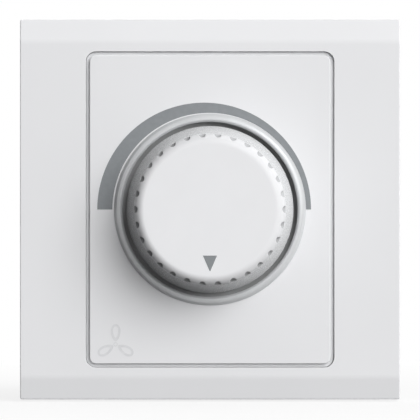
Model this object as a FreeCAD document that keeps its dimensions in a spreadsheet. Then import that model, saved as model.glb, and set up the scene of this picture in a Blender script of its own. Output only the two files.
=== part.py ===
import FreeCAD, Part
import math
import os
import Sketcher

# Fan speed control switch for a one-gang wall box.
# Every piece is drawn lying on its back: x to the right, y up the wall, z out of the wall,
# with z = 0 on the wall. STAND turns a piece up, so that its front faces -Y and its top +Z.

V = FreeCAD.Vector
STAND = FreeCAD.Placement(V(0, 0, 0), FreeCAD.Rotation(V(1, 0, 0), 90))
TURN = {
    "x": FreeCAD.Rotation(V(0, 1, 0), 90),
    "y": FreeCAD.Rotation(V(1, 0, 0), -90),
    "z": FreeCAD.Rotation(),
}

# Driving sizes in millimetres.
SIZES = {
    # Cover frame: outline, shell, slanted bands along the top and the bottom, snap hooks.
    "plate_width": 86.0,
    "plate_height": 86.0,
    "plate_depth": 8.0,
    "plate_wall": 2.0,
    "plate_front": 2.6,
    "plate_corner": 0.4,
    "plate_edge": 0.25,
    "cavity_corner": 1.0,
    "band_height": 5.0,
    "band_drop": 0.85,
    "band_crease": 6.0,
    "seam": 0.9,
    "seam_depth": 0.85,
    "shoulder_gap": 0.1,
    "window_edge": 0.12,
    "hook_width": 8.0,
    "hook_reach": 1.6,
    "hook_height": 0.9,
    "hook_lift": 0.2,
    "hook_pitch": 48.0,
    # Centre plate: a shallow box with a round hole and four pegs.
    "insert_width": 54.4,
    "insert_height": 69.7,
    "insert_corner": 1.4,
    "insert_proud": 0.2,
    "insert_wall": 1.8,
    "insert_front": 2.0,
    "insert_edge": 0.12,
    "peg_radius": 1.4,
    "peg_inset": 0.6,
    "peg_stop": 0.4,
    "relief_gap": 0.6,
    # Trim ring around the knob.
    "ring_opening": 19.85,
    "ring_wall": 0.95,
    "ring_flange": 0.9,
    "ring_rise": 1.7,
    "ring_rim": 0.2,
    "ring_flank": 0.6,
    "ring_flank_rise": 1.2,
    "ring_land": 0.4,
    "ring_inner_drop": 0.5,
    "ring_inner_slope": 0.35,
    "ring_round": 0.3,
    "ring_lip": 0.5,
    "ring_tail": 0.8,
    "ledge_reach": 1.85,
    "ledge_gap": 1.5,
    "ledge_thickness": 0.8,
    # Knob: tapered skirt with a hub, notched cap, leaf spring.
    "knob_gap": 0.9,
    "knob_rise": 14.0,
    "knob_sink": 0.2,
    "skirt_top": 17.0,
    "skirt_wall": 1.6,
    "skirt_web": 1.6,
    "skirt_edge": 0.3,
    "cap_thickness": 2.8,
    "cap_round": 2.2,
    "cap_plug_radius": 13.5,
    "cap_plug": 1.0,
    "notch_count": 30,
    "notch_radius": 0.8,
    "hub_wall": 2.5,
    "hub_lift": 0.4,
    "leaf_thickness": 0.4,
    "leaf_width": 3.6,
    "leaf_length": 8.0,
    "fit_gap": 0.05,
    # Rotary control: shaft, bush, can, rotor, wafer and switch, one behind the other.
    "shaft_radius": 3.0,
    "shaft_flat": 1.5,
    "shaft_crown": 3.2,
    "shaft_end_gap": 0.3,
    "run_gap": 0.05,
    "bush_radius": 4.5,
    "bush_over": 0.8,
    "pot_radius": 8.5,
    "pot_plate": 1.0,
    "pot_case_length": 5.5,
    "pot_case_wall": 0.8,
    "wafer_thickness": 1.2,
    "switch_length": 5.3,
    "rotor_radius": 7.2,
    "rotor_thickness": 2.4,
    "rotor_gap": 0.6,
    "wiper_width": 1.4,
    "wiper_radius": 4.6,
    "wiper_gap": 0.2,
    "lug_width": 1.2,
    "lug_thickness": 0.8,
    "lug_reach": 1.6,
    "lug_pitch": 5.0,
    "nut_flats": 12.0,
    "nut_height": 2.2,
    "washer_radius": 7.0,
    "washer_thickness": 0.6,
    "bush_gap": 0.1,
    # Support frame behind the cover.
    "support_thickness": 2.4,
    "support_gap": 0.5,
    "fixing_pitch": 60.3,
    "slot_width": 4.0,
    "slot_length": 7.0,
    "hook_gap": 0.3,
    "peg_gap": 0.1,
    "pan_gap": 0.5,
    "pan_height": 20.0,
    "pan_depth": 1.0,
    "pan_inset": 3.0,
    # Wall-box screws.
    "screw_radius": 1.75,
    "screw_neck": 1.4,
    "screw_head": 3.2,
    "screw_head_height": 2.0,
    "screw_length": 22.0,
    "drive_width": 0.9,
    "drive_depth": 0.9,
    # Rear housing.
    "housing_width": 48.0,
    "housing_height": 58.0,
    "housing_depth": 27.0,
    "housing_wall": 1.8,
    "housing_corner": 3.0,
    "housing_edge": 1.2,
    "post_radius": 3.2,
    "post_inset": 4.2,
    "shelf_width": 5.0,
    "shelf_depth": 2.5,
    "shelf_pitch": 24.0,
    "vent_width": 2.0,
    "vent_length": 22.0,
    "vent_centre": 6.0,
    "vent_pitch": 4.2,
    "vent_count": 7,
    "side_vent_length": 14.0,
    # Screws that join the housing to the support.
    "joint_screw_radius": 1.3,
    "joint_screw_length": 9.0,
    "joint_screw_head": 2.6,
    "joint_screw_head_height": 1.6,
    "joint_screw_gap": 0.05,
    "joint_hole_gap": 0.3,
    "joint_head_gap": 0.2,
    # Circuit board and what stands on it.
    "board_thickness": 1.6,
    "board_gap": 0.3,
    "capacitor_height": 8.0,
    "capacitor_tall": 9.6,
    "capacitor_edge": 2.9,
    "row_start": 11.0,
    "row_gap": 4.0,
    "sink_width": 16.0,
    "sink_height": 8.5,
    "sink_tall": 10.0,
    "sink_wall": 1.5,
    "sink_edge": 3.9,
    "triac_width": 8.0,
    "triac_thickness": 3.0,
    "triac_tall": 8.4,
    "triac_leg": 0.8,
    "triac_leg_pitch": 2.3,
    "triac_lift": 1.6,
    "triac_hole_drop": 2.8,
    "triac_screw_radius": 1.4,
    "triac_screw_head": 2.4,
    "triac_screw_head_height": 1.4,
    "triac_screw_tail": 1.6,
    "core_radius": 6.2,
    "core_hole": 3.2,
    "core_height": 6.0,
    "winding_thickness": 0.7,
    "winding_angle": 300.0,
    "choke_edge": 2.4,
    "choke_down": 17.6,
    "fuse_radius": 2.5,
    "fuse_length": 20.0,
    "fuse_cap_length": 5.0,
    "fuse_lift": 1.2,
    "fuse_edge": 1.4,
    "fuse_down": 15.4,
    "fuse_glass_shrink": 0.3,
    "clip_width": 3.2,
    "clip_wall": 0.6,
    "resistor_radius": 1.8,
    "resistor_length": 9.0,
    "resistor_lift": 0.2,
    "lead_radius": 0.4,
    "lead_reach": 1.4,
    "foot_radius": 0.5,
    "small_capacitor_width": 3.5,
    "small_capacitor_height": 7.2,
    "small_capacitor_tall": 7.0,
    "diac_radius": 1.0,
    "diac_length": 4.0,
    "diac_edge": 2.9,
    # Wire terminals.
    "block_width": 20.0,
    "block_height": 12.7,
    "block_out": 0.3,
    "block_gap": 0.3,
    "block_shy": 0.2,
    "block_floor": 1.2,
    "terminal_pitch": 10.0,
    "clamp_width": 7.0,
    "clamp_thickness": 7.0,
    "clamp_length": 9.5,
    "clamp_shy": 0.5,
    "clamp_gap": 0.1,
    "wire_radius": 1.75,
    "wire_depth": 8.2,
    "wire_drop": 2.6,
    "wire_web": 0.3,
    "terminal_screw_radius": 1.4,
    "terminal_screw_head": 2.4,
    "terminal_screw_head_height": 1.6,
    "terminal_screw_out": 1.2,
    "terminal_head_gap": 0.2,
}

doc = FreeCAD.newDocument("fan_speed_switch")
sheet = doc.addObject("Spreadsheet::Sheet", "dims")


class Size:
    """A length with its number and the sheet formula that gives it."""

    def __init__(self, text, value):
        self.text = text
        self.value = value

    def join(self, sign, other, value):
        return Size("(%s %s %s)" % (self.text, sign, other.text), value)

    def __add__(self, other):
        other = as_size(other)
        return self.join("+", other, self.value + other.value)

    def __sub__(self, other):
        other = as_size(other)
        return self.join("-", other, self.value - other.value)

    def __mul__(self, other):
        other = as_size(other)
        return self.join("*", other, self.value * other.value)

    def __truediv__(self, other):
        other = as_size(other)
        return self.join("/", other, self.value / other.value)

    def __neg__(self):
        return Size("(0 - %s)" % self.text, -self.value)


def as_size(number):
    """A plain number as a Size; a Size stays as it is."""
    return number if isinstance(number, Size) else Size(repr(float(number)), float(number))


class Sizes:
    """The sheet's sizes, by name."""


d = Sizes()
for row, (name, number) in enumerate(SIZES.items(), 1):
    sheet.set("A%d" % row, name)
    sheet.set("B%d" % row, str(number))
    sheet.setAlias("B%d" % row, name)
    setattr(d, name, Size("dims." + name, float(number)))
doc.recompute()

ZERO = Size("0", 0.0)
SQRT_THREE = math.sqrt(3)
QUARTER_TURN = math.pi / 2


def bind(thing, path, size):
    thing.setExpression(path, as_size(size).text)


# Bodies built from sketches.

def new_body(label):
    made = doc.addObject("PartDesign::Body", label)
    made.Label = label
    return made


def datum(owner, role):
    return next(item for item in owner.Origin.OriginFeatures if item.Role == role)


def new_sketch(owner, name, role="XY_Plane", level=ZERO):
    """A sketch on one of the body's own planes, moved along that plane's normal."""
    made = owner.newObject("Sketcher::SketchObject", owner.Label + "_" + name)
    made.AttachmentSupport = (datum(owner, role), [""])
    made.MapMode = "FlatFace"
    bind(made, "AttachmentOffset.Base.z", level)
    return made


def pin(sketch, item, point, across, up):
    """Hold a point of the sketch at its two distances from the middle."""
    for kind, size in (("DistanceX", as_size(across)), ("DistanceY", as_size(up))):
        place = sketch.addConstraint(Sketcher.Constraint(kind, -1, 1, item, point, size.value))
        bind(sketch, "Constraints[%d]" % place, size)


def draw_outline(sketch, points):
    """A closed outline of straight lines through the points."""
    first = sketch.GeometryCount
    points = [(as_size(across), as_size(up)) for across, up in points]
    count = len(points)
    for index in range(count):
        start = points[index]
        end = points[(index + 1) % count]
        ends = [V(point[0].value, point[1].value, 0) for point in (start, end)]
        sketch.addGeometry(Part.LineSegment(*ends), False)
    for index in range(count):
        after = first + (index + 1) % count
        sketch.addConstraint(Sketcher.Constraint("Coincident", first + index, 2, after, 1))
    for index, (across, up) in enumerate(points):
        pin(sketch, first + index, 1, across, up)


def draw_rectangle(sketch, left, low, right, high):
    draw_outline(sketch, [(left, low), (right, low), (right, high), (left, high)])


def draw_circle(sketch, radius, across=ZERO, up=ZERO):
    radius, across, up = as_size(radius), as_size(across), as_size(up)
    ring = Part.Circle(V(across.value, up.value, 0), V(0, 0, 1), radius.value)
    item = sketch.addGeometry(ring, False)
    place = sketch.addConstraint(Sketcher.Constraint("Radius", item, radius.value))
    bind(sketch, "Constraints[%d]" % place, radius)
    pin(sketch, item, 3, across, up)


def draw_round_rectangle(sketch, width, height, corner):
    """A rectangle about the middle with four equal round corners."""
    side, top, round_ = (width / 2).value, (height / 2).value, corner.value
    bends = [(1, 1, 0), (-1, 1, 1), (-1, -1, 2), (1, -1, 3)]
    for across, up, turn in bends:
        middle = V(across * (side - round_), up * (top - round_), 0)
        ring = Part.Circle(middle, V(0, 0, 1), round_)
        arc = Part.ArcOfCircle(ring, turn * QUARTER_TURN, (turn + 1) * QUARTER_TURN)
        sketch.addGeometry(arc, False)
    ends = [
        (V(side - round_, top, 0), V(-side + round_, top, 0)),
        (V(-side, top - round_, 0), V(-side, -top + round_, 0)),
        (V(-side + round_, -top, 0), V(side - round_, -top, 0)),
        (V(side, -top + round_, 0), V(side, top - round_, 0)),
    ]
    for start, end in ends:
        sketch.addGeometry(Part.LineSegment(start, end), False)
    for index in range(4):
        line = 4 + index
        after = (index + 1) % 4
        sketch.addConstraint(Sketcher.Constraint("Tangent", index, 2, line, 1))
        sketch.addConstraint(Sketcher.Constraint("Tangent", line, 2, after, 1))
        level = "Horizontal" if index % 2 == 0 else "Vertical"
        sketch.addConstraint(Sketcher.Constraint(level, line))
    for index in (1, 2, 3):
        sketch.addConstraint(Sketcher.Constraint("Equal", 0, index))
    place = sketch.addConstraint(Sketcher.Constraint("Radius", 0, round_))
    bind(sketch, "Constraints[%d]" % place, corner)
    sketch.addConstraint(Sketcher.Constraint("Symmetric", 0, 3, 2, 3, -1, 1))
    pin(sketch, 0, 3, width / 2 - corner, height / 2 - corner)


def draw_slot(sketch, across, length, width):
    """A slot along x with round ends, its middle on the x axis."""
    reach = (length - width) / 2
    end = (width / 2).value
    left, right = (across - reach).value, (across + reach).value
    first = sketch.GeometryCount
    for middle, start in ((right, -QUARTER_TURN), (left, QUARTER_TURN)):
        ring = Part.Circle(V(middle, 0, 0), V(0, 0, 1), end)
        sketch.addGeometry(Part.ArcOfCircle(ring, start, start + 2 * QUARTER_TURN), False)
    sketch.addGeometry(Part.LineSegment(V(right, end, 0), V(left, end, 0)), False)
    sketch.addGeometry(Part.LineSegment(V(left, -end, 0), V(right, -end, 0)), False)
    around = [first, first + 2, first + 1, first + 3]
    for one, other in zip(around, around[1:] + around[:1]):
        sketch.addConstraint(Sketcher.Constraint("Tangent", one, 2, other, 1))
    place = sketch.addConstraint(Sketcher.Constraint("Radius", first, end))
    bind(sketch, "Constraints[%d]" % place, width / 2)
    pin(sketch, first, 3, across + reach, ZERO)
    pin(sketch, first + 1, 3, across - reach, ZERO)


def draw_flatted_circle(sketch, radius, flat):
    """A circle about the middle with a flat at its right-hand side."""
    half = (radius.value ** 2 - flat.value ** 2) ** 0.5
    start = V(flat.value, half, 0)
    end = V(flat.value, -half, 0)
    far = V(-radius.value, 0, 0)
    sketch.addGeometry(Part.Arc(start, far, end), False)
    sketch.addGeometry(Part.LineSegment(end, start), False)
    sketch.addConstraint(Sketcher.Constraint("Coincident", 0, 2, 1, 1))
    sketch.addConstraint(Sketcher.Constraint("Coincident", 1, 2, 0, 1))
    sketch.addConstraint(Sketcher.Constraint("Coincident", 0, 3, -1, 1))
    sketch.addConstraint(Sketcher.Constraint("Vertical", 1))
    place = sketch.addConstraint(Sketcher.Constraint("Radius", 0, radius.value))
    bind(sketch, "Constraints[%d]" % place, radius)
    place = sketch.addConstraint(Sketcher.Constraint("DistanceX", -1, 1, 1, 1, flat.value))
    bind(sketch, "Constraints[%d]" % place, flat)


def feature(owner, kind, name):
    return owner.newObject("PartDesign::" + kind, owner.Label + "_" + name)


def pad(owner, name, sketch, length, back=False, both=False):
    made = feature(owner, "Pad", name)
    made.Profile = sketch
    made.Reversed = back
    made.Midplane = both
    bind(made, "Length", length)
    doc.recompute()
    return made


def pocket(owner, name, sketch, depth=None, up=True):
    """A cut along the sketch's normal, to a depth or right through."""
    made = feature(owner, "Pocket", name)
    made.Profile = sketch
    made.Reversed = up
    if depth is None:
        made.Type = "ThroughAll"
    else:
        bind(made, "Length", depth)
    before = made.BaseFeature.Shape.Volume
    doc.recompute()
    if made.Shape.Volume > before - 1e-6:
        raise ValueError(made.Label + " cuts nothing")
    return made


def revolve(owner, name, points):
    """A solid of revolution about z from an outline of radius and level."""
    sketch = new_sketch(owner, name + "_outline", "XZ_Plane")
    draw_outline(sketch, points)
    made = feature(owner, "Revolution", name)
    made.Profile = sketch
    made.ReferenceAxis = (sketch, ["V_Axis"])
    made.Angle = 360
    doc.recompute()
    return made


def soften(owner, name, base, radius, chosen):
    """Round the edges of the last feature that the test picks."""
    names = ["Edge%d" % index for index, edge in enumerate(base.Shape.Edges, 1) if chosen(edge)]
    made = feature(owner, "Fillet", name)
    made.Base = (base, names)
    bind(made, "Radius", radius)
    doc.recompute()
    return made


def middle_of(edge):
    return edge.valueAt((edge.FirstParameter + edge.LastParameter) / 2)


def near(one, other):
    return abs(one - as_size(other).value) < 1e-4


def runs_along(edge, axis):
    """True for an edge whose ends differ along one axis only."""
    ends = [vertex.Point for vertex in edge.Vertexes]
    if len(ends) < 2:
        return False
    gap = ends[1] - ends[0]
    across = {"x": (gap.y, gap.z), "y": (gap.x, gap.z), "z": (gap.x, gap.y)}[axis]
    return max(abs(part) for part in across) < 1e-6 and gap.Length > 1e-6


def round_at(edge, radius, level):
    """True for a full circle about z of that radius at that level."""
    curve = edge.Curve
    if not isinstance(curve, Part.Circle):
        return False
    return near(curve.Radius, radius) and near(curve.Center.z, level)


# Pieces built from plain solids.

solid_count = [0]


def solid(kind, turn=TURN["z"], at=(ZERO, ZERO, ZERO)):
    solid_count[0] += 1
    made = doc.addObject("Part::" + kind, "solid%d" % solid_count[0])
    made.Placement = FreeCAD.Placement(V(0, 0, 0), turn)
    for axis, size in zip("xyz", at):
        bind(made, "Placement.Base." + axis, size)
    return made


def box(low, size):
    """A box from its low corner and its size along x, y and z."""
    made = solid("Box", at=low)
    for path, length in zip(("Length", "Width", "Height"), size):
        bind(made, path, length)
    return made


def rod(radius, length, start, axis="z"):
    """A round bar from the middle of its start face, along an axis."""
    made = solid("Cylinder", TURN[axis], start)
    bind(made, "Radius", radius)
    bind(made, "Height", length)
    return made


def join(*parts):
    made = solid("MultiFuse")
    made.Shapes = list(parts)
    return made


def cut(base, *tools):
    made = solid("Cut")
    made.Base = base
    made.Tool = tools[0] if len(tools) == 1 else join(*tools)
    return made


def tube(radius, hole, length, start, axis="z"):
    return cut(rod(radius, length, start, axis), rod(hole, length, start, axis))


pieces = []


def keep(made):
    made.Placement = STAND
    pieces.append(made)


def keep_solids(label, *solids):
    """One piece made of plain solids, such as a set of equal screws."""
    made = doc.addObject("Part::Compound", label)
    made.Label = label
    made.Links = list(solids)
    keep(made)


# Levels along z, out of the wall.
half_width = d.plate_width / 2
half_height = d.plate_height / 2
insert_top = d.plate_depth + d.insert_proud
insert_under = insert_top - d.insert_front
knob_top = insert_top + d.knob_rise
skirt_high = knob_top - d.cap_thickness
skirt_low = insert_top - d.knob_sink
recess_floor = skirt_high - d.cap_plug
web_under = recess_floor - d.skirt_web
hub_low = skirt_low + d.hub_lift
shaft_top = skirt_high - d.shaft_crown
pot_back = d.pot_plate + d.pot_case_length
wafer_back = pot_back + d.wafer_thickness
board_front = wafer_back + d.switch_length
board_back = board_front + d.board_thickness
bush_top = d.support_thickness + d.washer_thickness + d.nut_height + d.bush_over
skirt_base = d.ring_opening - d.knob_gap
ring_neck = d.ring_opening + d.ring_wall
ring_radius = ring_neck + d.ring_flange
hub_radius = d.shaft_radius + d.hub_wall

# Cover frame: one bar with the slanted bands, rounded, hollowed from behind, with a window.
cover = new_body("cover_frame")
flat_half = half_height - d.band_height
band_low = d.plate_depth - d.band_drop
side = new_sketch(cover, "side", "YZ_Plane")
draw_outline(side, [
    (-half_height, ZERO),
    (half_height, ZERO),
    (half_height, band_low),
    (flat_half, d.plate_depth),
    (-flat_half, d.plate_depth),
    (-half_height, band_low),
])
bar = pad(cover, "bar", side, d.plate_width, both=True)


def is_crease(edge):
    middle = middle_of(edge)
    return runs_along(edge, "x") and near(abs(middle.y), flat_half) and near(middle.z, d.plate_depth)


def is_corner(edge):
    middle = middle_of(edge)
    return runs_along(edge, "z") and near(abs(middle.x), half_width) and near(abs(middle.y), half_height)


def is_front_rim(edge):
    middle = middle_of(edge)
    if runs_along(edge, "z") or min(vertex.Point.z for vertex in edge.Vertexes) < band_low.value - 0.01:
        return False
    at_side = near(abs(middle.x), half_width) or near(abs(middle.y), half_height)
    past_x = abs(middle.x) > (half_width - d.plate_corner).value
    past_y = abs(middle.y) > (half_height - d.plate_corner).value
    return at_side or (past_x and past_y)


creased = soften(cover, "crease", bar, d.band_crease, is_crease)
cornered = soften(cover, "corners", creased, d.plate_corner, is_corner)
rounded = soften(cover, "rim", cornered, d.plate_edge, is_front_rim)
cavity = new_sketch(cover, "cavity")
cavity_width = d.plate_width - d.plate_wall * 2
cavity_height = d.plate_height - d.plate_wall * 2
draw_round_rectangle(cavity, cavity_width, cavity_height, d.cavity_corner)
pocket(cover, "hollow", cavity, d.plate_depth - d.plate_front)
window = new_sketch(cover, "window")
window_width = d.insert_width + d.seam * 2
window_height = d.insert_height + d.seam * 2
draw_round_rectangle(window, window_width, window_height, d.insert_corner + d.seam)
opened = pocket(cover, "opening", window)


def is_window_rim(edge):
    middle = middle_of(edge)
    inside_x = abs(middle.x) < (window_width / 2).value + 0.01
    inside_y = abs(middle.y) < (window_height / 2).value + 0.01
    return near(middle.z, d.plate_depth) and inside_x and inside_y


soften(cover, "window_rim", opened, d.window_edge, is_window_rim)
hooks = new_sketch(cover, "hooks", level=d.hook_lift)
wall_face = half_height - d.plate_wall
for way in (-1, 1):
    hook_middle = d.hook_pitch / 2 * way
    draw_rectangle(
        hooks,
        hook_middle - d.hook_width / 2,
        wall_face - d.hook_reach,
        hook_middle + d.hook_width / 2,
        wall_face + d.plate_wall / 4,
    )
top_hooks = pad(cover, "top_hooks", hooks, d.hook_height)
all_hooks = feature(cover, "Mirrored", "all_hooks")
all_hooks.Originals = [top_hooks]
all_hooks.MirrorPlane = (datum(cover, "XZ_Plane"), [""])
cover.Tip = all_hooks
keep(cover)

# Centre plate: a shallow box that stands on the support, with a shoulder that closes the
# seam, four pegs, and a relief in each side wall for the head of a wall screw.
insert = new_body("centre_plate")
shoulder_top = d.plate_depth - d.seam_depth
shoulder_step = d.seam - d.shoulder_gap
shoulder = new_sketch(insert, "shoulder", level=d.support_thickness)
draw_round_rectangle(
    shoulder,
    d.insert_width + shoulder_step * 2,
    d.insert_height + shoulder_step * 2,
    d.insert_corner + shoulder_step,
)
pad(insert, "block", shoulder, shoulder_top - d.support_thickness)
insert_face = new_sketch(insert, "face", level=shoulder_top)
draw_round_rectangle(insert_face, d.insert_width, d.insert_height, d.insert_corner)
insert_block = pad(insert, "raised", insert_face, insert_top - shoulder_top)
soften(insert, "rim", insert_block, d.insert_edge, lambda edge: near(middle_of(edge).z, insert_top))
insert_cavity = new_sketch(insert, "cavity", level=d.support_thickness)
draw_rectangle(
    insert_cavity,
    d.insert_wall - d.insert_width / 2,
    d.insert_wall - d.insert_height / 2,
    d.insert_width / 2 - d.insert_wall,
    d.insert_height / 2 - d.insert_wall,
)
pocket(insert, "hollow", insert_cavity, insert_under - d.support_thickness)
reliefs = new_sketch(insert, "reliefs", level=d.support_thickness)
relief_half = d.screw_head + d.relief_gap
for way in (-1, 1):
    draw_rectangle(
        reliefs,
        (d.insert_width / 2 - d.insert_wall * 2) * way,
        -relief_half,
        (d.insert_width / 2 + d.insert_wall) * way,
        relief_half,
    )
pocket(insert, "screw_reliefs", reliefs, d.screw_head_height + d.relief_gap)
ring_hole = new_sketch(insert, "ring_hole")
draw_circle(ring_hole, ring_neck + d.fit_gap)
pocket(insert, "ring_seat", ring_hole)
pegs = new_sketch(insert, "pegs", level=d.peg_stop)
peg_edge = d.insert_wall + d.peg_inset + d.peg_radius
peg_across = d.insert_width / 2 - peg_edge
peg_up = d.insert_height / 2 - peg_edge
corners = [(-1, -1), (1, -1), (1, 1), (-1, 1)]
for across, up in corners:
    draw_circle(pegs, d.peg_radius, peg_across * across, peg_up * up)
pad(insert, "pegs_pad", pegs, insert_under + d.insert_front / 4 - d.peg_stop)
keep(insert)

# Trim ring: a neck through the centre plate with a snap lip, a rounded crest in front, and a ledge
# that closes the gap behind the knob's edge.
ring = new_body("trim_ring")
ring_top = insert_top + d.ring_rise
ring_bottom = insert_under - d.ring_tail
lip_top = insert_under - d.fit_gap * 2
lip_radius = ring_neck + d.ring_lip
crest_inner = d.ring_opening + d.ring_inner_slope
crest_outer = crest_inner + d.ring_land
rim_top = insert_top + d.ring_rim
flank_radius = ring_radius - d.ring_flank
flank_top = rim_top + d.ring_flank_rise
ledge_radius = d.ring_opening - d.ledge_reach
ledge_top = skirt_low - d.ledge_gap
ledge_under = ledge_top - d.ledge_thickness
turned = revolve(ring, "turned", [
    (ledge_radius, ledge_top),
    (ledge_radius, ledge_under),
    (d.ring_opening, ledge_under),
    (d.ring_opening, ring_bottom),
    (ring_neck, ring_bottom),
    (lip_radius, (ring_bottom + lip_top) / 2),
    (lip_radius, lip_top),
    (ring_neck, lip_top),
    (ring_neck, insert_top),
    (ring_radius, insert_top),
    (ring_radius, rim_top),
    (flank_radius, flank_top),
    (crest_outer, ring_top),
    (crest_inner, ring_top),
    (d.ring_opening, ring_top - d.ring_inner_drop),
    (d.ring_opening, ledge_top),
])


def is_crest(edge):
    outer_side = round_at(edge, ring_radius, rim_top) or round_at(edge, flank_radius, flank_top)
    return outer_side or round_at(edge, crest_outer, ring_top) or round_at(edge, crest_inner, ring_top)


soften(ring, "crest", turned, d.ring_round, is_crest)
keep(ring)

# Knob skirt: a tapered shell with a web, a recess for the cap and a hub bored for the shaft.
skirt = new_body("knob_skirt")
shell = revolve(skirt, "shell", [
    (skirt_base, skirt_low),
    (d.skirt_top, skirt_high),
    (d.cap_plug_radius + d.fit_gap, skirt_high),
    (d.cap_plug_radius + d.fit_gap, recess_floor),
    (ZERO, recess_floor),
    (ZERO, hub_low),
    (hub_radius, hub_low),
    (hub_radius, web_under),
    (d.skirt_top - d.skirt_wall, web_under),
    (skirt_base - d.skirt_wall, skirt_low),
])
soften(skirt, "foot", shell, d.skirt_edge, lambda edge: round_at(edge, skirt_base, skirt_low))
bore = new_sketch(skirt, "bore", level=hub_low)
bore_flat = d.shaft_flat + d.leaf_thickness + d.fit_gap * 2
draw_flatted_circle(bore, d.shaft_radius + d.fit_gap, bore_flat)
pocket(skirt, "shaft_bore", bore, shaft_top + d.shaft_end_gap - hub_low)
keep(skirt)

# Knob cap: a disc with a round edge, a plug underneath and notches around its rim.
cap = new_body("knob_cap")
disc = revolve(cap, "disc", [
    (ZERO, recess_floor),
    (d.cap_plug_radius, recess_floor),
    (d.cap_plug_radius, skirt_high),
    (d.skirt_top, skirt_high),
    (d.skirt_top, knob_top),
    (ZERO, knob_top),
])
soften(cap, "round", disc, d.cap_round, lambda edge: round_at(edge, d.skirt_top, knob_top))
notch = new_sketch(cap, "notch", level=skirt_high)
draw_circle(notch, d.notch_radius, d.skirt_top)
first_notch = pocket(cap, "first_notch", notch)
notches = feature(cap, "PolarPattern", "notches")
notches.Originals = [first_notch]
notches.Axis = (datum(cap, "Z_Axis"), [""])
notches.Angle = 360
bind(notches, "Occurrences", d.notch_count)
cap.Tip = notches
keep(cap)

# Leaf spring that presses on the flat of the shaft.
leaf_low = (hub_low + shaft_top - d.leaf_length) / 2
keep_solids("knob_leaf", box(
    (d.shaft_flat + d.fit_gap, -d.leaf_width / 2, leaf_low),
    (d.leaf_thickness, d.leaf_width, d.leaf_length),
))

# Support frame: a plate with slots for the wall screws and ledges for the cover's hooks.
support = new_body("support_frame")
support_width = d.plate_width - (d.plate_wall + d.support_gap) * 2
support_height = d.plate_height - (d.plate_wall + d.support_gap) * 2
support_outline = new_sketch(support, "outline")
draw_round_rectangle(support_outline, support_width, support_height, d.cavity_corner)
pad(support, "plate", support_outline, d.support_thickness)
openings = new_sketch(support, "openings")
draw_circle(openings, d.bush_radius + d.bush_gap)
draw_slot(openings, -d.fixing_pitch / 2, d.slot_length, d.slot_width)
draw_slot(openings, d.fixing_pitch / 2, d.slot_length, d.slot_width)
post_across = d.housing_width / 2 - d.post_inset
post_up = d.housing_height / 2 - d.post_inset
for across, up in corners:
    draw_circle(openings, d.peg_radius + d.peg_gap, peg_across * across, peg_up * up)
    draw_circle(openings, d.joint_screw_radius + d.joint_hole_gap, post_across * across, post_up * up)
pocket(support, "holes", openings)
joint_bearing = d.support_thickness - d.joint_screw_head_height
sinks = new_sketch(support, "head_sinks", level=joint_bearing)
for across, up in corners:
    draw_circle(sinks, d.joint_screw_head + d.joint_head_gap, post_across * across, post_up * up)
pocket(support, "counterbores", sinks)
ledges = new_sketch(support, "ledges")
for across, up in corners:
    ledge_middle = d.hook_pitch / 2 * across
    ledge_half = d.hook_width / 2 + d.hook_gap
    draw_rectangle(
        ledges,
        ledge_middle - ledge_half,
        (wall_face - d.hook_reach - d.hook_gap) * up,
        ledge_middle + ledge_half,
        (support_height / 2 + d.support_gap) * up,
    )
pocket(support, "hook_ledges", ledges, d.hook_lift + d.hook_height + d.hook_gap)
pans = new_sketch(support, "pans")
pan_near = d.housing_width / 2 + d.pan_gap
pan_far = support_width / 2 - d.pan_inset
pan_high = support_height / 2 - d.hook_reach - d.pan_inset
for across, up in corners:
    draw_rectangle(
        pans,
        pan_near * across,
        (pan_high - d.pan_height) * up,
        pan_far * across,
        pan_high * up,
    )
pocket(support, "rear_pans", pans, d.pan_depth)
keep(support)


def screw(across, up, top, head, head_height, steps, drive_along="x"):
    """A slotted pan-head screw that points down z from its bearing level."""
    parts = [rod(head, head_height, (across, up, top))]
    level = top
    for radius, length in steps:
        parts.append(rod(radius, length, (across, up, level - length)))
        level = level - length
    slot_long = head * 2 + d.drive_width
    slot_low = top + head_height - d.drive_depth
    if drive_along == "x":
        low = (across - slot_long / 2, up - d.drive_width / 2, slot_low)
        slot = box(low, (slot_long, d.drive_width, d.drive_depth * 2))
    else:
        low = (across - d.drive_width / 2, up - slot_long / 2, slot_low)
        slot = box(low, (d.drive_width, slot_long, d.drive_depth * 2))
    return cut(join(*parts), slot)


# Wall-box screws, held in the support by their thin necks.
fixing_steps = [(d.screw_neck, d.support_thickness), (d.screw_radius, d.screw_length)]
keep_solids("fixing_screws", *[
    screw(
        d.fixing_pitch / 2 * way, ZERO, d.support_thickness,
        d.screw_head, d.screw_head_height, fixing_steps, along,
    )
    for way, along in ((-1, "x"), (1, "y"))
])

# Screws sunk in the support, through it into the housing's posts.
keep_solids("housing_screws", *[
    screw(
        post_across * across, post_up * up, joint_bearing,
        d.joint_screw_head, d.joint_screw_head_height,
        [(d.joint_screw_radius, joint_bearing + d.joint_screw_length)],
    )
    for across, up in corners
])

# Rear housing: a box with corner posts, shelves for the board, a terminal bay and vents.
housing = new_body("rear_housing")
housing_side = d.housing_width / 2
housing_top = d.housing_height / 2
housing_outline = new_sketch(housing, "outline")
draw_round_rectangle(housing_outline, d.housing_width, d.housing_height, d.housing_corner)
housing_block = pad(housing, "block", housing_outline, d.housing_depth, back=True)


def is_housing_rim(edge):
    return near(middle_of(edge).z, -d.housing_depth)


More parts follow.
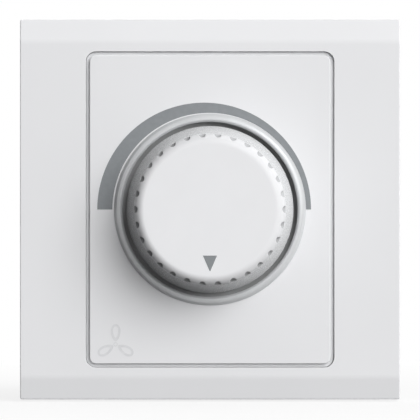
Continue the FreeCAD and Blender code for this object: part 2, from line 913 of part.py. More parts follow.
soften(housing, "rim", housing_block, d.housing_edge, is_housing_rim)
housing_floor = d.housing_depth - d.housing_wall
housing_cavity = new_sketch(housing, "cavity")
inner_side = housing_side - d.housing_wall
inner_top = housing_top - d.housing_wall
draw_rectangle(housing_cavity, -inner_side, -inner_top, inner_side, inner_top)
pocket(housing, "hollow", housing_cavity, housing_floor, up=False)
posts = new_sketch(housing, "posts")
for across, up in corners:
    draw_circle(posts, d.post_radius, post_across * across, post_up * up)
pad(housing, "posts_pad", posts, housing_floor + d.housing_wall / 4, back=True)
pilots = new_sketch(housing, "pilots")
for across, up in corners:
    draw_circle(pilots, d.joint_screw_radius + d.joint_screw_gap, post_across * across, post_up * up)
pilot_depth = d.joint_screw_length + d.joint_screw_radius
pocket(housing, "pilot_holes", pilots, pilot_depth, up=False)
shelves = new_sketch(housing, "shelves", level=-board_back)
for across, up in corners:
    shelf_middle = d.shelf_pitch / 2 * up
    draw_rectangle(
        shelves,
        (inner_side + d.housing_wall / 4) * across,
        shelf_middle - d.shelf_width / 2,
        (inner_side - d.shelf_depth) * across,
        shelf_middle + d.shelf_width / 2,
    )
shelf_tall = housing_floor - board_back + d.housing_wall / 4
pad(housing, "shelves_pad", shelves, shelf_tall, back=True)
bay = new_sketch(housing, "bay", level=-d.housing_depth)
block_half = d.block_width / 2
block_low = -housing_top + d.block_out
block_high = block_low + d.block_height
draw_rectangle(
    bay,
    -block_half - d.block_gap,
    -housing_top - d.housing_wall,
    block_half + d.block_gap,
    block_high + d.block_gap,
)
pocket(housing, "terminal_bay", bay, d.housing_depth - board_back)
vent_first = d.vent_pitch * (d.vent_count - 1) / 2
vent = new_sketch(housing, "vent", level=-d.housing_depth)
draw_rectangle(
    vent,
    -vent_first - d.vent_width / 2,
    d.vent_centre - d.vent_length / 2,
    -vent_first + d.vent_width / 2,
    d.vent_centre + d.vent_length / 2,
)
rear_vent = pocket(housing, "rear_vent", vent, d.housing_wall * 1.5)


def row_of(owner, name, original):
    """The same vent repeated along x."""
    made = feature(owner, "LinearPattern", name)
    made.Originals = [original]
    made.Direction = (datum(owner, "X_Axis"), [""])
    bind(made, "Length", vent_first * 2)
    bind(made, "Occurrences", d.vent_count)
    owner.Tip = made
    doc.recompute()
    return made


row_of(housing, "rear_vents", rear_vent)
side_vent = new_sketch(housing, "side_vent", "XZ_Plane")
side_vent_middle = d.housing_depth / 2
draw_rectangle(
    side_vent,
    -vent_first - d.vent_width / 2,
    -side_vent_middle - d.side_vent_length / 2,
    -vent_first + d.vent_width / 2,
    -side_vent_middle + d.side_vent_length / 2,
)
top_vent = pocket(housing, "top_vent", side_vent, up=False)
row_of(housing, "top_vents", top_vent)
keep(housing)

# Rotary control: bush with its front plate, can, wafer with lugs, switch, shaft and rotor.
bush = new_body("pot_bushing")
bush_bore = d.shaft_radius + d.run_gap
revolve(bush, "turned", [
    (bush_bore, -d.pot_plate),
    (d.pot_radius, -d.pot_plate),
    (d.pot_radius, ZERO),
    (d.bush_radius, ZERO),
    (d.bush_radius, bush_top),
    (bush_bore, bush_top),
])
keep(bush)
keep_solids("pot_case", tube(
    d.pot_radius, d.pot_radius - d.pot_case_wall, d.pot_case_length, (ZERO, ZERO, -pot_back),
))
lug_low = -d.pot_radius - d.lug_reach
wafer_parts = [rod(d.pot_radius, d.wafer_thickness, (ZERO, ZERO, -wafer_back))]
for way in (-1, 0, 1):
    lug_left = d.lug_pitch * way - d.lug_width / 2
    wafer_parts.append(box(
        (lug_left, lug_low, -wafer_back),
        (d.lug_width, d.pot_radius / 2 + d.lug_reach, d.wafer_thickness),
    ))
    wafer_parts.append(box(
        (lug_left, lug_low, -board_front),
        (d.lug_width, d.lug_thickness, d.switch_length + d.wafer_thickness),
    ))
keep_solids("track_wafer", join(*wafer_parts))
keep_solids("pot_switch", rod(d.pot_radius, d.switch_length, (ZERO, ZERO, -board_front)))
shaft_low = -pot_back + d.shaft_end_gap
flat_low = bush_top + d.fit_gap
keep_solids("pot_shaft", cut(
    rod(d.shaft_radius, shaft_top - shaft_low, (ZERO, ZERO, shaft_low)),
    box(
        (d.shaft_flat, -d.shaft_radius, flat_low),
        (d.shaft_radius, d.shaft_radius * 2, shaft_top - flat_low + d.shaft_end_gap),
    ),
))
rotor_top = -d.pot_plate - d.rotor_gap
rotor_low = rotor_top - d.rotor_thickness
wiper_low = d.wiper_gap - pot_back
keep_solids("pot_rotor", cut(
    join(
        rod(d.rotor_radius, d.rotor_thickness, (ZERO, ZERO, rotor_low)),
        box(
            (d.wiper_radius, -d.wiper_width / 2, wiper_low),
            (d.wiper_width, d.wiper_width, rotor_low - wiper_low + d.rotor_thickness / 2),
        ),
    ),
    rod(d.shaft_radius + d.fit_gap, d.rotor_thickness, (ZERO, ZERO, rotor_low)),
))
nut_low = d.support_thickness + d.washer_thickness
nut = solid("Prism", at=(ZERO, ZERO, nut_low))
nut.Polygon = 6
bind(nut, "Circumradius", d.nut_flats / SQRT_THREE)
bind(nut, "Height", d.nut_height)
keep_solids("pot_nut", cut(nut, rod(d.bush_radius + d.fit_gap, d.nut_height, (ZERO, ZERO, nut_low))))
keep_solids("pot_washer", tube(
    d.washer_radius, d.bush_radius + d.bush_gap, d.washer_thickness, (ZERO, ZERO, d.support_thickness),
))

# Circuit board, cut back at its corners for the posts.
board = new_body("circuit_board")
board_side = inner_side - d.board_gap
board_top = inner_top - d.board_gap
notch_side = post_across - d.post_radius - d.board_gap
notch_top = post_up - d.post_radius - d.board_gap
board_outline = new_sketch(board, "outline", level=-board_front)
draw_outline(board_outline, [
    (-notch_side, -board_top),
    (notch_side, -board_top),
    (notch_side, -notch_top),
    (board_side, -notch_top),
    (board_side, notch_top),
    (notch_side, notch_top),
    (notch_side, board_top),
    (-notch_side, board_top),
    (-notch_side, notch_top),
    (-board_side, notch_top),
    (-board_side, -notch_top),
    (-notch_side, -notch_top),
])
pad(board, "sheet", board_outline, d.board_thickness, back=True)
keep(board)

# Capacitors, resistor and trigger diode on the board, placed from its edges.
sink_left = board_side - d.sink_edge - d.sink_width
capacitor_left = d.capacitor_edge - board_side
diac_across = board_side - d.diac_edge
resistor_across = -(d.pot_radius + board_side) / 2
small_capacitor_left = (d.pot_radius + diac_across - d.small_capacitor_width) / 2
keep_solids("mains_capacitor", box(
    (capacitor_left, d.row_start, -board_front),
    (sink_left - d.row_gap - capacitor_left, d.capacitor_height, d.capacitor_tall),
))
keep_solids("timing_capacitor", box(
    (small_capacitor_left, -d.small_capacitor_height / 2, -board_front),
    (d.small_capacitor_width, d.small_capacitor_height, d.small_capacitor_tall),
))


def axial_part(radius, length, across, lift):
    """A round body along y on two bent wire leads that stand on the board."""
    level = radius + lift - board_front
    start = -length / 2
    lead_start = start - d.lead_reach
    parts = [
        rod(radius, length, (across, start, level), "y"),
        rod(d.lead_radius, length + d.lead_reach * 2, (across, lead_start, level), "y"),
    ]
    for foot in (lead_start, -lead_start):
        parts.append(rod(d.foot_radius, level + board_front + d.foot_radius, (across, foot, -board_front)))
    return join(*parts)


keep_solids("snubber_resistor", axial_part(
    d.resistor_radius, d.resistor_length, resistor_across, d.resistor_lift,
))
keep_solids("diac", axial_part(d.diac_radius, d.diac_length, diac_across, d.resistor_lift))

# Triac screwed to a folded heat sink.
sink_back = d.row_start + d.sink_height - d.sink_wall
triac_low = d.triac_lift - board_front
triac_front = sink_back - d.triac_thickness
triac_middle = sink_left + d.sink_width / 2
triac_hole = triac_low + d.triac_tall - d.triac_hole_drop
triac_hole_radius = d.triac_screw_radius + d.bush_gap
keep_solids("heat_sink", cut(
    box(
        (sink_left, d.row_start, -board_front),
        (d.sink_width, d.sink_height, d.sink_tall),
    ),
    box(
        (sink_left + d.sink_wall, d.row_start - d.sink_wall, -board_front),
        (d.sink_width - d.sink_wall * 2, d.sink_height, d.sink_tall),
    ),
    rod(triac_hole_radius, d.sink_wall * 2, (triac_middle, sink_back - d.sink_wall / 2, triac_hole), "y"),
))
triac_parts = [box(
    (triac_middle - d.triac_width / 2, triac_front, triac_low),
    (d.triac_width, d.triac_thickness, d.triac_tall),
)]
for way in (-1, 0, 1):
    triac_parts.append(box(
        (
            triac_middle + d.triac_leg_pitch * way - d.triac_leg / 2,
            triac_front + (d.triac_thickness - d.triac_leg) / 2,
            -board_front,
        ),
        (d.triac_leg, d.triac_leg, d.triac_lift + d.triac_leg),
    ))
keep_solids("triac", cut(
    join(*triac_parts),
    rod(triac_hole_radius, d.triac_thickness, (triac_middle, triac_front, triac_hole), "y"),
))
triac_screw_long = d.triac_thickness + d.sink_wall + d.triac_screw_tail
keep_solids("triac_screw", join(
    rod(d.triac_screw_radius, triac_screw_long, (triac_middle, triac_front, triac_hole), "y"),
    rod(
        d.triac_screw_head, d.triac_screw_head_height,
        (triac_middle, triac_front - d.triac_screw_head_height, triac_hole), "y",
    ),
))

# Choke: a ring core inside a winding that leaves a gap.
winding_radius = d.core_radius + d.winding_thickness
choke_across = d.choke_edge + winding_radius - board_side
winding_low = (choke_across, -d.choke_down, -board_front)
core_low = (choke_across, -d.choke_down, d.winding_thickness - board_front)
winding_tall = d.core_height + d.winding_thickness * 2
keep_solids("choke_core", tube(
    d.core_radius - d.fit_gap, d.core_hole + d.fit_gap, d.core_height, core_low,
))
winding_outer = rod(winding_radius, winding_tall, winding_low)
bind(winding_outer, "Angle", d.winding_angle)
keep_solids("choke_winding", cut(
    winding_outer,
    rod(d.core_hole - d.winding_thickness, winding_tall, winding_low),
    tube(d.core_radius, d.core_hole, d.core_height, core_low),
))

# Fuse in two clips.
fuse_level = d.fuse_radius + d.fuse_lift - board_front
fuse_end = board_side - d.fuse_edge
fuse_start = fuse_end - d.fuse_length
glass_start = fuse_start + d.fuse_cap_length
glass_long = d.fuse_length - d.fuse_cap_length * 2
keep_solids("fuse_tube", rod(
    d.fuse_radius - d.fuse_glass_shrink, glass_long, (glass_start, -d.fuse_down, fuse_level), "x",
))
keep_solids("fuse_caps", *[
    rod(d.fuse_radius, d.fuse_cap_length, (start, -d.fuse_down, fuse_level), "x")
    for start in (fuse_start, fuse_end - d.fuse_cap_length)
])


def fuse_clip(middle):
    """A block on the board with an open round seat for the fuse."""
    half = d.fuse_radius + d.clip_wall
    start = middle - d.clip_width / 2
    seat = d.fuse_radius + d.fit_gap
    tall = fuse_level + board_front + d.fuse_radius / 2
    return cut(
        box((start, -d.fuse_down - half, -board_front), (d.clip_width, half * 2, tall)),
        rod(seat, d.clip_width, (start, -d.fuse_down, fuse_level), "x"),
    )


keep_solids("fuse_clips", *[
    fuse_clip(middle)
    for middle in (fuse_start + d.fuse_cap_length / 2, fuse_end - d.fuse_cap_length / 2)
])

# Wire terminals: an insulating block with two brass clamps; wires enter from below.
terminals = new_body("terminal_block")
block_back = d.housing_depth - d.block_shy
clamp_front = board_back + d.block_floor
clamp_back = clamp_front + d.clamp_thickness
clamp_low = block_low + d.clamp_shy
block_outline = new_sketch(terminals, "outline", level=-board_back)
draw_rectangle(block_outline, -block_half, block_low, block_half, block_high)
pad(terminals, "body", block_outline, block_back - board_back, back=True)
cells = new_sketch(terminals, "cells", "XZ_Plane", level=-block_low)
heads = new_sketch(terminals, "heads", level=-block_back)
clamp_screw_up = clamp_low + d.clamp_length / 2
terminal_places = [d.terminal_pitch / 2 * way for way in (-1, 1)]
for middle in terminal_places:
    cell_half = d.clamp_width / 2 + d.clamp_gap
    draw_rectangle(
        cells,
        middle - cell_half,
        -clamp_back - d.clamp_gap,
        middle + cell_half,
        -clamp_front,
    )
    draw_circle(heads, d.terminal_screw_head + d.terminal_head_gap, middle, clamp_screw_up)
pocket(terminals, "clamp_cells", cells, d.clamp_shy + d.clamp_length + d.clamp_gap, up=False)
pocket(terminals, "screw_wells", heads, block_back - clamp_back)
keep(terminals)

wire_level = clamp_front + d.wire_drop


def clamp(middle):
    """A brass block with a blind hole for the wire and a screw hole behind it."""
    return cut(
        box(
            (middle - d.clamp_width / 2, clamp_low, -clamp_back),
            (d.clamp_width, d.clamp_length, d.clamp_thickness),
        ),
        rod(d.wire_radius, d.wire_depth, (middle, clamp_low, -wire_level), "y"),
        rod(
            d.terminal_screw_radius + d.fit_gap, clamp_back - wire_level,
            (middle, clamp_screw_up, -clamp_back),
        ),
    )


keep_solids("terminal_clamps", *[clamp(middle) for middle in terminal_places])


def terminal_screw(middle):
    """A slotted screw, backed out so that the wire hole is free."""
    head_back = -clamp_back - d.terminal_screw_out - d.terminal_screw_head_height
    tip = -wire_level - d.wire_radius - d.wire_web
    slot_left = middle - d.terminal_screw_head
    slot_low = (slot_left, clamp_screw_up - d.drive_width / 2, head_back - d.drive_depth)
    return cut(
        join(
            rod(d.terminal_screw_head, d.terminal_screw_head_height, (middle, clamp_screw_up, head_back)),
            rod(d.terminal_screw_radius, tip - head_back, (middle, clamp_screw_up, head_back)),
        ),
        box(slot_low, (d.terminal_screw_head * 2, d.drive_width, d.drive_depth * 2)),
    )


keep_solids("terminal_screws", *[terminal_screw(middle) for middle in terminal_places])

doc.recompute()

# Every object has to be sound before its file is written.
for item in doc.Objects:
    if "Invalid" in item.State or "Error" in item.State:
        raise ValueError(item.Label + " did not compute")
os.makedirs("parts", exist_ok=True)
for made in pieces:
    if made.Shape.isNull() or not made.Shape.isValid() or not made.Shape.Solids:
        raise ValueError(made.Label + " has no sound solid")
    made.Shape.exportStep("parts/%s.step" % made.Label)
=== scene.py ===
import math

import bpy
import numpy as np
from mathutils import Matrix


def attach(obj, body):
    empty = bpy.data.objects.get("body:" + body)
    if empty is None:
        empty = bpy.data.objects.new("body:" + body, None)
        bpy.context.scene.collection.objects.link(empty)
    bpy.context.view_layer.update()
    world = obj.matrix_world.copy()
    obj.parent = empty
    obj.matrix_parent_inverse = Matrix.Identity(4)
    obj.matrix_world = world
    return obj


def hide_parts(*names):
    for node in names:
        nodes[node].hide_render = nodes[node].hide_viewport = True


# Fan speed control switch. Shapes are drawn lying on the back, in millimetres: x to the right,
# y up the wall, z out of the wall. stand() turns them up and gives metres.

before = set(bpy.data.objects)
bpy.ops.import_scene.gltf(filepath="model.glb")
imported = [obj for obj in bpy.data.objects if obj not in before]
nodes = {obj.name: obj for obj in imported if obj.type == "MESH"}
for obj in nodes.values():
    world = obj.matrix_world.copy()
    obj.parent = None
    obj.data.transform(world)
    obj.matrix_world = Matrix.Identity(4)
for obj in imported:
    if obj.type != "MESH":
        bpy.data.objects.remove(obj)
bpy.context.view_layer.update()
scene = bpy.context.scene
scene.view_settings.view_transform = "Standard"

MM = 0.001
NEAR_ZERO = 1e-9

# Levels above the wall and radii of the front pieces.
INSERT_TOP = 8.2
SEAM_FLOOR = 7.15
RING_OPENING = 19.85
RING_NECK = 20.8
RING_RADIUS = 21.7
RING_TOP = 9.9
RING_LOW = 5.4
KNOB_TOP = 22.2
CAP_UNDER = KNOB_TOP - 2.8
CAP_RADIUS = 17.0
CAP_ROUND = 2.2
PLUG_RADIUS = 13.5
PLUG_LOW = CAP_UNDER - 1.0
WEB_UNDER = PLUG_LOW - 1.6
NOTCHES = 30
NOTCH_RADIUS = 0.8
SKIRT_BASE = 18.95
SKIRT_LOW = 8.0
SKIRT_WALL = 1.6
HUB_RADIUS = 5.5
HUB_LOW = SKIRT_LOW + 0.4
LEDGE_RADIUS = 18.0
LEDGE_TOP = SKIRT_LOW - 1.5
LEDGE_UNDER = LEDGE_TOP - 0.8
SCREW_ACROSS = 30.15

# Prints stand a few hundredths of a millimetre proud and reach a little into what they lie on.
PRINT_RISE = 0.03
PRINT_ROOT = 0.01
PRINT_GAP = 0.02
CAP_FACE = KNOB_TOP - PRINT_RISE


def stand(across, up, out):
    """Lying points in millimetres stood on the wall in metres: (x, y, z) becomes (x, -z, y)."""
    across, up, out = np.broadcast_arrays(across, up, out)
    return np.stack([across, -out, up], axis=-1) * MM


def rounded_path(corners, closed=False, steps=6, support=0.12):
    """A path of straight sides with an arc at every corner.

    Each corner gives two coordinates and a rounding. The arc starts rounding / tan(half the inner
    angle) from the corner and swings about the point on the bisector at rounding / sin(half of it).
    Two support points on each side, near its ends, keep flat sides flat when shaded smooth.
    """
    longest_support = 0.3
    head_share = 0.97
    corners = np.array(corners, float)
    at, rounding = corners[:, :2], corners[:, 2:]
    before, after = np.roll(at, 1, axis=0), np.roll(at, -1, axis=0)
    if not closed:
        at, rounding = at[1:-1], rounding[1:-1]
        before, after = before[1:-1], after[1:-1]
    back = (before - at) / np.linalg.norm(before - at, axis=1, keepdims=True)
    ahead = (after - at) / np.linalg.norm(after - at, axis=1, keepdims=True)
    inner = np.arccos(np.clip((back * ahead).sum(1, keepdims=True), -1, 1))
    middle = back + ahead
    middle /= np.linalg.norm(middle, axis=1, keepdims=True)
    centre = at + middle * rounding / np.sin(inner / 2)
    first = at + back * rounding / np.tan(inner / 2) - centre
    side = np.sign(back[:, :1] * ahead[:, 1:] - back[:, 1:] * ahead[:, :1])
    turn = -side * (np.pi - inner) * np.linspace(0, 1, steps + 1)
    arcs = np.stack([
        first[:, :1] * np.cos(turn) - first[:, 1:] * np.sin(turn),
        first[:, :1] * np.sin(turn) + first[:, 1:] * np.cos(turn),
    ], axis=-1) + centre[:, None, :]
    starts, ends = arcs[:, -1], np.roll(arcs[:, 0], -1, axis=0)
    if not closed:
        ends[-1] = corners[-1, :2]
    run = ends - starts
    reach = np.linalg.norm(run, axis=1, keepdims=True)
    small = np.minimum(support, reach * longest_support) / np.maximum(reach, NEAR_ZERO)
    sides = np.stack([starts + run * small, ends - run * small], axis=1)
    path = np.concatenate([arcs, sides], axis=1).reshape(-1, 2)
    if not closed:
        head = corners[0, :2] + (arcs[0, 0] - corners[0, :2]) * [[0], [head_share]]
        path = np.concatenate([head, path, corners[-1:, :2]])
    return path


def grid_quads(rows, columns, wrap_rows, wrap_columns):
    """The corner numbers of the four-sided faces of a grid, closed on itself where asked."""
    number = np.arange(rows * columns).reshape(rows, columns)
    if wrap_rows:
        number = np.concatenate([number, number[:1]])
    if wrap_columns:
        number = np.concatenate([number, number[:, :1]], axis=1)
    faces = [number[:-1, :-1], number[:-1, 1:], number[1:, 1:], number[1:, :-1]]
    return np.stack(faces, axis=-1).reshape(-1, 4)


def add_piece(
    name, points, quads, triangles=None, body="housing", slot=None, replaces=(), crease=35,
):
    """A closed mesh from whole arrays of points and faces.

    Six times the volume is the sum over all triangles of a . (b x c). Where it is negative every
    face is reversed, so that faces point outwards.
    """
    triangles = np.zeros((0, 3), int) if triangles is None else triangles
    split = np.concatenate([quads[:, [0, 1, 2]], quads[:, [0, 2, 3]], triangles])
    a, b, c = (points[split[:, k]] for k in range(3))
    if (a * np.cross(b, c)).sum() < 0:
        quads, triangles = quads[:, ::-1], triangles[:, ::-1]
    mesh = bpy.data.meshes.new(name)
    mesh.from_pydata(points.tolist(), [], quads.tolist() + triangles.tolist())
    mesh.shade_smooth()
    mesh.set_sharp_from_angle(angle=math.radians(crease))
    piece = bpy.data.objects.new(name, mesh)
    scene.collection.objects.link(piece)
    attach(piece, body)
    if replaces:
        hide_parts(*replaces)
    return piece


def turned(name, radius, level, angle, across=0.0, **kind):
    """A turned form: radius and level are grids over (place along the profile, angle).

    The point is (across + radius cos angle, radius sin angle, level). A profile that starts and
    ends on the axis has its first and last rows drawn together into one point each. Any other
    profile runs back to its start.
    """
    radius, level, angle = np.broadcast_arrays(radius, level, angle)
    rows, columns = radius.shape
    points = stand(across + radius * np.cos(angle), radius * np.sin(angle), level).reshape(-1, 3)
    if np.abs(radius[[0, -1]]).max() > NEAR_ZERO:
        return add_piece(name, points, grid_quads(rows, columns, True, True), **kind)
    inner = points[columns:-columns]
    quads = grid_quads(rows - 2, columns, False, True)
    number = np.arange((rows - 2) * columns).reshape(rows - 2, columns)
    top, low = number[0], number[-1]
    first, last = np.full(columns, len(inner)), np.full(columns, len(inner) + 1)
    fans = np.concatenate([
        np.stack([first, np.roll(top, -1), top], axis=1),
        np.stack([last, low, np.roll(low, -1)], axis=1),
    ])
    points = np.concatenate([inner, points[:1], points[-1:]])
    return add_piece(name, points, quads, fans, **kind)


def full_turn(columns):
    """The angles of one turn as a single row, without the last, which is the first again."""
    return np.linspace(0, 2 * np.pi, columns, endpoint=False)[None, :]


# Knob cap, skirt, ring and wall screws as turned forms.

def make_cap():
    """The cap's rounded profile turned about the axis, with round notches cut in from its rim.

    Within a notch the rim is the near side of a circle about a point on the rim:
    radius = R cos(d) - sqrt(n^2 - R^2 sin(d)^2), with d the angle from the notch's middle.
    """
    rim_edge, plug_edge = 0.06, 0.05
    profile = rounded_path([
        (0, CAP_FACE, 0),
        (CAP_RADIUS, CAP_FACE, CAP_ROUND),
        (CAP_RADIUS, CAP_UNDER, rim_edge),
        (PLUG_RADIUS, CAP_UNDER, plug_edge),
        (PLUG_RADIUS, PLUG_LOW, plug_edge),
        (0, PLUG_LOW, 0),
    ], steps=16)
    notch_columns, rim_columns = 15, 9
    half = math.asin(NOTCH_RADIUS / CAP_RADIUS)
    pitch = 2 * np.pi / NOTCHES
    inside = -half * np.cos(np.linspace(0, np.pi, notch_columns))
    between = np.linspace(half, pitch - half, rim_columns)[1:-1]
    one = np.concatenate([inside, between])
    offset = np.tile(one, NOTCHES)[None, :]
    angle = offset + np.repeat(np.arange(NOTCHES) * pitch, len(one))[None, :]
    across = CAP_RADIUS * np.sin(offset)
    chord = np.sqrt(np.maximum(NOTCH_RADIUS ** 2 - across ** 2, 0))
    rim = np.where(offset <= half, CAP_RADIUS * np.cos(offset) - chord, CAP_RADIUS)
    radius = np.minimum(profile[:, :1], rim)
    return turned(
        "cap_moulding", radius, profile[:, 1:], angle,
        body="dial", slot="cap_plastic", replaces=["knob_cap"],
    )


def make_skirt():
    """The tapered shell with its web and hub turned about the axis.

    The bore is a circle with a flat: radius = min(R, flat / cos(angle)) where the cosine is
    positive.
    """
    bore, flat = 3.05, 2.0
    bore_end = WEB_UNDER - 0.3
    seat = PLUG_RADIUS + 0.05
    crisp, top_edge, low_edge, foot_edge = 0.05, 0.12, 0.3, 0.2
    web_corner, hub_corner = 0.4, 0.3
    profile = rounded_path([
        (0, PLUG_LOW, 0),
        (seat, PLUG_LOW, crisp),
        (seat, CAP_UNDER, crisp),
        (CAP_RADIUS, CAP_UNDER, top_edge),
        (SKIRT_BASE, SKIRT_LOW, low_edge),
        (SKIRT_BASE - SKIRT_WALL, SKIRT_LOW, foot_edge),
        (CAP_RADIUS - SKIRT_WALL, WEB_UNDER, web_corner),
        (HUB_RADIUS, WEB_UNDER, hub_corner),
        (HUB_RADIUS, HUB_LOW, foot_edge),
        (bore, HUB_LOW, crisp),
        (bore, bore_end, crisp),
        (0, bore_end, 0),
    ])
    angle = full_turn(256)
    cosine = np.maximum(np.cos(angle), NEAR_ZERO)
    in_bore = (profile[:, :1] < (bore + HUB_RADIUS) / 2) & (profile[:, 1:] < WEB_UNDER)
    radius = np.where(in_bore, np.minimum(profile[:, :1], flat / cosine), profile[:, :1])
    return turned(
        "skirt_metal", radius, profile[:, 1:], angle,
        body="dial", slot="satin_silver", replaces=["knob_skirt"],
    )


def make_ring():
    """The ring's closed profile turned about the axis: crest, snap lip and a ledge under the knob."""
    lip = RING_NECK + 0.5
    lip_low, lip_top = 5.75, 6.1
    foot_top = INSERT_TOP + 0.2
    flank, flank_top = RING_RADIUS - 0.6, INSERT_TOP + 1.4
    crest_outer, crest_inner = RING_OPENING + 0.75, RING_OPENING + 0.35
    mouth = RING_TOP - 0.5
    crisp, edge, soft = 0.05, 0.1, 0.3
    profile = rounded_path([
        (LEDGE_RADIUS, LEDGE_TOP, edge),
        (LEDGE_RADIUS, LEDGE_UNDER, edge),
        (RING_OPENING, LEDGE_UNDER, edge),
        (RING_OPENING, RING_LOW, edge),
        (RING_NECK, RING_LOW, edge),
        (lip, lip_low, edge),
        (lip, lip_top, crisp),
        (RING_NECK, lip_top, crisp),
        (RING_NECK, INSERT_TOP, crisp),
        (RING_RADIUS, INSERT_TOP, crisp),
        (RING_RADIUS, foot_top, soft),
        (flank, flank_top, soft),
        (crest_outer, RING_TOP, soft),
        (crest_inner, RING_TOP, soft),
        (RING_OPENING, mouth, edge),
        (RING_OPENING, LEDGE_TOP, edge),
    ], closed=True)
    return turned(
        "ring_metal", profile[:, :1], profile[:, 1:], full_turn(320),
        slot="satin_silver", replaces=["trim_ring"],
    )


def make_wall_screw(name, across, slot_turn, replaces=()):
    """A captive machine screw: slotted head, plain neck, and a thread wound on the shank.

    On the shank the radius is the outer radius less the thread's depth times a triangle wave of
    level / pitch + angle / full turn, faded in and out at its two ends. On the head's face the
    level drops by the slot's depth where the distance across the slot is under half its width.
    """
    head, neck, outer = 3.2, 1.4, 1.75
    under, top, tip = 2.4, 4.4, -22.0
    face_edge, under_edge, neck_edge, neck_low = 0.25, 0.1, 0.05, 0.1
    face_rim, face_overlap = head - face_edge, 0.01
    pitch, depth = 0.6, 0.33
    fade_in, fade_out = 1.0, 1.2
    slot_width, slot_depth, slot_slope = 0.9, 0.9, 0.06
    tip_bevel, tip_radius, tip_ring = 0.5, outer - 0.4, 0.8
    face_count, shank_count = 28, 432
    angle = full_turn(64)
    face_rows = np.stack([np.linspace(0, face_rim, face_count), np.full(face_count, top)], axis=1)
    side_rows = rounded_path([
        (face_rim - face_overlap, top, 0),
        (head, top, face_edge),
        (head, under, under_edge),
        (neck, under, neck_edge),
        (neck, neck_low, 0),
    ])[2:]
    shank_level = np.linspace(0.0, tip + tip_bevel, shank_count)
    shank_rows = np.stack([np.full(shank_count, outer), shank_level], axis=1)
    tip_rows = np.array([(tip_radius, tip), (tip_ring, tip), (0, tip)])
    profile = np.concatenate([face_rows, side_rows, shank_rows, tip_rows])
    radius, level = profile[:, :1], profile[:, 1:]
    wave = np.abs(2 * np.mod(level / pitch + angle / (2 * np.pi), 1) - 1)
    fade = np.clip(-level / fade_in, 0, 1) * np.clip((level - tip) / fade_out, 0, 1)
    on_shank = (radius == outer) & (level <= 0)
    radius = np.where(on_shank, outer - depth * wave * fade, radius)
    gap = np.abs(radius * np.sin(angle + slot_turn))
    sunk = np.clip((slot_width / 2 - gap) / slot_slope + 0.5, 0, 1)
    level = level - slot_depth * sunk * (level == top)
    return turned(
        name, radius, level, angle, across, slot="screw_steel", replaces=replaces, crease=50,
    )


# Prints: thin slabs a few hundredths of a millimetre thick.

def slab(name, near, far, level, closed, **kind):
    """A thin slab between two paired edge lines.

    Each station has four corners: the near edge and the far edge, at two levels. The corners run
    around the section, the stations along the print, and open ends are closed by one face each.
    """
    low, high = np.full(len(near), level - PRINT_ROOT), np.full(len(near), level + PRINT_RISE)
    corners = np.stack([
        stand(near[:, 0], near[:, 1], low), stand(near[:, 0], near[:, 1], high),
        stand(far[:, 0], far[:, 1], high), stand(far[:, 0], far[:, 1], low),
    ], axis=1)
    count = len(near)
    quads = grid_quads(count, 4, closed, True)
    if not closed:
        last = 4 * (count - 1)
        ends = np.array([[0, 1, 2, 3], [last + 3, last + 2, last + 1, last]])
        quads = np.concatenate([quads, ends])
    return add_piece(name, corners.reshape(-1, 3), quads, **kind)


def make_scale():
    """The speed scale: half a turn between two circles, thick at the left and thin at the right.

    A circle of radius R about (c, 0) is met at angle a from the axis at
    r = c cos(a) + sqrt(R^2 - c^2 sin(a)^2). The inner edge never goes under the ring.
    """
    outer_radius, outer_shift = 24.18, -1.32
    inner_radius, inner_shift = 21.87, -0.2
    angle = np.linspace(0, np.pi, 181)

    def reach(radius, shift):
        return shift * np.cos(angle) + np.sqrt(radius ** 2 - (shift * np.sin(angle)) ** 2)

    outer = reach(outer_radius, outer_shift)
    inner = np.maximum(reach(inner_radius, inner_shift), RING_RADIUS + PRINT_GAP)
    way = np.stack([np.cos(angle), np.sin(angle)], axis=1)
    return slab(
        "speed_scale", way * inner[:, None], way * outer[:, None], INSERT_TOP, False,
        slot="white_plastic",
    )


def make_pointer():
    """The pointer: a triangle on the cap, its two sides drawn from its top edge down to its tip."""
    half_width, half_tip = 1.52, 0.06
    start, length = 10.3, 3.5
    along = np.linspace(0, 1, 12)
    half = half_width * (1 - along) + half_tip
    down = -(start + length * along)
    left, right = np.stack([-half, down], axis=1), np.stack([half, down], axis=1)
    return slab("pointer_print", left, right, CAP_FACE, False, body="dial", slot="cap_plastic")


def make_fan_sign():
    """The fan sign: three blades in outline around a small ring.

    A blade lies between two egg shapes with one axis. An egg's point at turn s is at
    start + length * (1 - cos s) / 2 along the blade and at
    width * sin(s) * (0.45 + 0.55 sin(s / 2)) across it, so it is widest towards its tip.
    """
    hub = np.array([-21.35, -30.5])
    hub_inner, hub_outer = 0.28, 0.5
    hollow_start, hollow_length, hollow_width = 1.5, 2.55, 0.68
    blade_start, blade_length, blade_width = 0.62, 3.95, 1.3
    turn = full_turn(96)[0]

    def egg(start, length, width, swing):
        along = start + length * (1 - np.cos(turn)) / 2
        across = width * np.sin(turn) * (0.45 + 0.55 * np.sin(turn / 2))
        way = np.stack([np.cos(swing), np.sin(swing)])
        side = np.stack([-np.sin(swing), np.cos(swing)])
        return hub + along[:, None] * way + across[:, None] * side

    made = []
    for number, swing in enumerate(np.radians([90, 210, 330])):
        inner = egg(hollow_start, hollow_length, hollow_width, swing)
        outer = egg(blade_start, blade_length, blade_width, swing)
        name = "fan_blade_%d" % number
        made.append(slab(name, inner, outer, INSERT_TOP, True, slot="white_plastic"))
    around = np.stack([np.cos(turn), np.sin(turn)], axis=1)
    inner, outer = around * hub_inner + hub, around * hub_outer + hub
    made.append(slab("fan_hub", inner, outer, INSERT_TOP, True, slot="white_plastic"))
    return made


# Materials. Each starts from Object coordinates, and a noise gives every colour its drift.

LOW_NOISE, HIGH_NOISE = 0.3, 0.7


